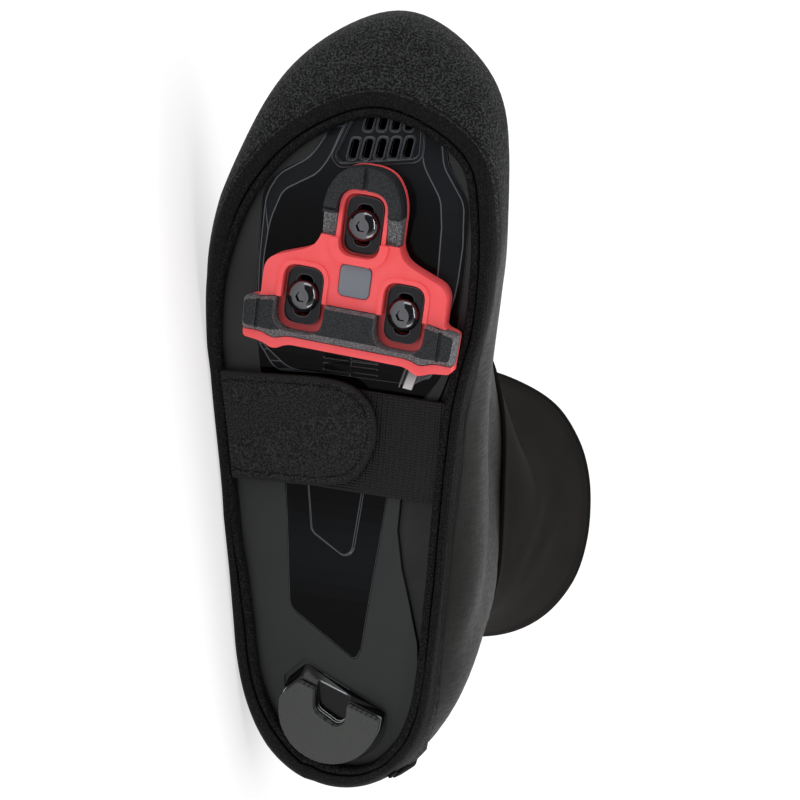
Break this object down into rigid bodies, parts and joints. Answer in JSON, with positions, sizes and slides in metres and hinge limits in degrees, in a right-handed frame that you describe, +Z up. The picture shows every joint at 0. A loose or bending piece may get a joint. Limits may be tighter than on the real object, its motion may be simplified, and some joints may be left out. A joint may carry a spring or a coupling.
{
  "type": "cycling overshoe",
  "caption": "Right cycling overshoe in stretch fabric with a flared ankle sleeve, lying on its side over a road shoe sole with a cleat, strap and heel pad.",
  "frame": {"origin": "middle of the bounding box's bottom, on the ground that the shoe lies on", "axes": "-X to the toe, +Y to the collar, +Z up from the ground, which is close to the shoe's inner side"},
  "size_m": [0.2888, 0.1942, 0.1195],
  "materials": {
    "coated_fabric": "satin coated stretch fabric",
    "textile": "matte grained textile",
    "shaft_fabric": "matte knit-backed fabric",
    "binding": "matte woven tape",
    "elastic": "ribbed elastic",
    "hook_textile": "matte hook textile",
    "satin_rubber": "satin moulded sole",
    "shoe_fabric": "rippled fabric",
    "insole_foam": "matte",
    "gloss_plate": "gloss moulded composite",
    "heel_gloss": "gloss",
    "heel_tread": "fine diagonal tread",
    "cleat_red": "satin moulded",
    "cleat_pad": "speckled matte",
    "badge_grey": "satin",
    "washer": "black satin",
    "bolt_steel": "polished dark steel",
    "zip_coil": "matte coil",
    "zip_metal": "black satin"
  },
  "bodies": {
    "root": {"upper": "coated_fabric", "rand": "textile", "shaft": "shaft_fabric", "opening_binding": "binding", "strap_band": "elastic", "strap_tab": "hook_textile", "outsole": "satin_rubber", "sole_margin": "shoe_fabric", "insole": "insole_foam", "sole_plate": "gloss_plate", "heel_block": "heel_gloss", "heel_tread": "heel_tread", "cleat_body": "cleat_red", "cleat_nose_pad": "cleat_pad", "cleat_tail_pad": "cleat_pad", "cleat_badge": "badge_grey", "zip_coil": "zip_coil", "zip_stop": "zip_coil", "zip_slider": "zip_metal", "cleat_washer_1": "washer", "cleat_bolt_1": "bolt_steel", "cleat_washer_2": "washer", "cleat_bolt_2": "bolt_steel", "cleat_washer_3": "washer", "cleat_bolt_3": "bolt_steel"}
  },
  "joints": []
}
